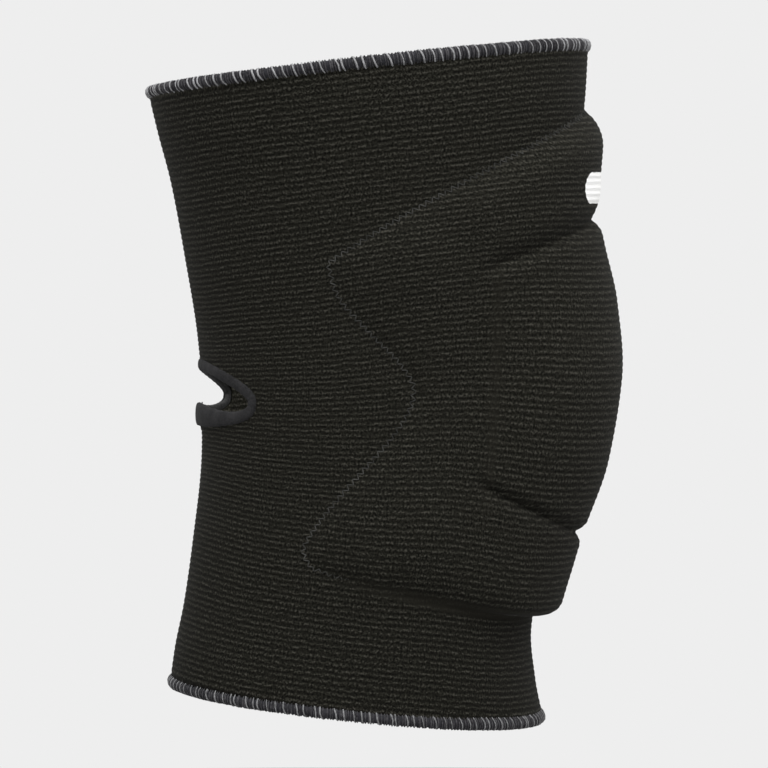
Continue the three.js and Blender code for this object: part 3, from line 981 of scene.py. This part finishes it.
def plain_cloth(name, dark, light, scale, specular=0.06, sheen=0.015):
    """Brushed cloth or thread: fine uneven fibres with soft sheen."""
    s = Surface(name)
    fibres = s.noise(s.place(), scale, 3.0, 0.65)
    blotches = s.noise(s.place(), scale / 9, 2.0)
    tone = s.math("MULTIPLY_ADD", blotches, 0.6, s.math("SUBTRACT", fibres, 0.3))
    colour = s.ramp(tone, [(0.25, dark), (0.75, light)])
    return s.finish(
        {
            "Base Color": colour,
            "Roughness": 0.85,
            "Specular IOR Level": specular,
            "Sheen Weight": sheen,
            "Sheen Roughness": 0.5,
            "Normal": s.bump(fibres, 0.0002, 0.7),
        }
    )


# Stage


def add_floor():
    s = Surface("studio_floor")
    mottle = s.noise(s.place(), 3.0)
    colour = s.ramp(mottle, [(0.3, (0.4, 0.4, 0.4)), (0.7, (0.42, 0.42, 0.42))])
    material = s.finish({"Base Color": colour, "Roughness": 0.9, "Specular IOR Level": 0.1})
    turn = full_turn(96)
    height = np.full(len(turn), FLOOR_HEIGHT)
    rim = np.stack([np.cos(turn) * FLOOR_RADIUS, np.sin(turn) * FLOOR_RADIUS, height], axis=-1)
    floor = make_object("floor", rim, [list(range(len(turn)))], material)


def add_light(name, place, size, power):
    data = bpy.data.lights.new(name, "AREA")
    data.shape = "DISK"
    data.size = size
    data.energy = power
    lamp = bpy.data.objects.new(name, data)
    lamp.location = place
    lamp.rotation_mode = "QUATERNION"
    lamp.rotation_quaternion = (-Vector(place)).to_track_quat("-Z", "Y")
    bpy.context.scene.collection.objects.link(lamp)


def add_camera():
    azimuth, elevation = math.radians(CAMERA_AZIMUTH), math.radians(CAMERA_ELEVATION)
    back = Vector(
        (
            math.sin(azimuth) * math.cos(elevation),
            -math.cos(azimuth) * math.cos(elevation),
            math.sin(elevation),
        )
    )
    right = Vector((math.cos(azimuth), math.sin(azimuth), 0))
    up = back.cross(right)
    centre = PICTURE_SIDE / 2
    aim = right * (centre - ORIGIN_PIXEL[0]) + up * (ORIGIN_PIXEL[1] - centre)
    data = bpy.data.cameras.new("camera")
    data.sensor_width = 36
    data.lens = data.sensor_width * CAMERA_DISTANCE / (PICTURE_SIDE * MM_PER_PIXEL)
    camera = bpy.data.objects.new("camera", data)
    camera.location = (aim * MM_PER_PIXEL + back * CAMERA_DISTANCE) * MM
    camera.rotation_mode = "QUATERNION"
    camera.rotation_quaternion = (-back).to_track_quat("-Z", "Y")
    bpy.context.scene.collection.objects.link(camera)
    bpy.context.scene.camera = camera


def light_scene():
    """A pale studio: even round the horizon, brighter overhead like a large soft box."""
    world = bpy.data.worlds.new("studio")
    world.use_nodes = True
    tree = world.node_tree
    direction = tree.nodes.new("ShaderNodeTexCoord").outputs["Generated"]
    parts = tree.nodes.new("ShaderNodeSeparateXYZ")
    tree.links.new(direction, parts.inputs["Vector"])
    ramp = tree.nodes.new("ShaderNodeValToRGB")
    tree.links.new(parts.outputs["Z"], ramp.inputs["Fac"])
    ramp.color_ramp.interpolation = "EASE"
    stops = ((BACKGROUND_END, BACKGROUND / ZENITH), (ZENITH_START, 1.0))
    for element, (height, shade) in zip(ramp.color_ramp.elements, stops):
        element.position = height
        element.color = (shade, shade, shade, 1)
    background = tree.nodes["Background"]
    tree.links.new(ramp.outputs["Color"], background.inputs["Color"])
    background.inputs["Strength"].default_value = ZENITH
    bpy.context.scene.world = world
    add_light("overhead", place=(0, -0.85, 1.3), size=0.9, power=20)


# Pieces


def add_sleeve():
    knit = knit_material("rib_knit", 1, True)
    points, faces, uv, pulled, within = sleeve_mesh()
    sleeve = make_object("rib_knit_sleeve", points, faces, knit)
    add_uv(sleeve.data, "knit", uv, 2 * math.pi * KNEE_RADIUS)
    add_uv(sleeve.data, "pulled", pulled)
    # The inner face is the knit painted 3.3 times paler: painted light for the shaded inside
    sleeve.data.materials.append(knit_material("rib_knit_inside_painted_light", 3.3, False))
    sleeve.data.polygons.foreach_set("material_index", within)
    cut_opening(sleeve)
    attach(sleeve, "root")
    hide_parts("knit_sleeve")
    return sleeve


def add_foam():
    lining = plain_cloth("foam_lining", (0.009, 0.009, 0.009), (0.024, 0.024, 0.023), 1500)
    foam = make_object("moulded_foam_pad", *foam_mesh(), lining)
    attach(foam, "root")
    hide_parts("foam_pad")
    return foam


def add_hems():
    """Both hems, each a core wound with dark and light thread."""
    core = plain_cloth("hem_core", (0.012, 0.012, 0.014), (0.03, 0.03, 0.034), 2500)
    dark_thread = plain_cloth("dark_thread", (0.008, 0.008, 0.009), (0.075, 0.073, 0.078), 1100)
    bright = plain_cloth("light_thread", (0.1, 0.1, 0.1), (0.34, 0.34, 0.35), 1300)
    dull = plain_cloth("dull_light_thread", (0.07, 0.07, 0.07), (0.24, 0.24, 0.245), 1300)
    upper = SLEEVE_ABOVE - HEM_HEIGHT / 2
    lower = HEM_HEIGHT / 2 - SLEEVE_BELOW
    hems = []
    for node, middle, light_pitch, light_width, light_thread in (
        ("upper_hem", upper, UPPER_LIGHT_PITCH, UPPER_LIGHT_THREAD, bright),
        ("lower_hem", lower, LOWER_LIGHT_PITCH, LOWER_LIGHT_THREAD, dull),
    ):
        hem = make_object(node + "_core", *hem_mesh(middle), core)
        loops = loops_mesh(middle, DARK_LOOP_PITCH, DARK_THREAD, DARK_SEED, 0)
        dark = make_object(node + "_dark_thread", *loops, dark_thread)
        loops = loops_mesh(middle, light_pitch, light_width, LIGHT_SEED, LIGHT_STAND_OUT)
        light = make_object(node + "_light_thread", *loops, light_thread)
        for piece in (hem, dark, light):
            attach(piece, "root")
            hems.append(piece)
        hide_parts(node)
    return hems


def add_binding():
    tape = plain_cloth("binding_tape", (0.01, 0.01, 0.0105), (0.026, 0.0255, 0.0265), 1800)
    points, faces, within = binding_mesh()
    binding = make_object("opening_tape", points, faces, tape)
    # The tape's inner side is painted paler than its outside: painted light for the side that
    # faces into the shaded sleeve
    inside = plain_cloth("binding_inside_painted_light", (0.03, 0.03, 0.03), (0.08, 0.08, 0.08), 1800)
    binding.data.materials.append(inside)
    binding.data.polygons.foreach_set("material_index", within)
    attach(binding, "root")
    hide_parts("opening_binding")
    return binding


def add_seam():
    thread = plain_cloth("seam_thread", (0.007, 0.007, 0.0065), (0.062, 0.062, 0.058), 380)
    seam = make_object("pad_seam_zigzag", *seam_mesh(), thread)
    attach(seam, "root")
    return seam


def main():
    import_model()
    bpy.context.scene.view_settings.view_transform = "Standard"
    add_camera()
    light_scene()
    add_floor()

    sleeve = add_sleeve()
    foam = add_foam()
    hems = add_hems()
    binding = add_binding()
    seam = add_seam()


main()
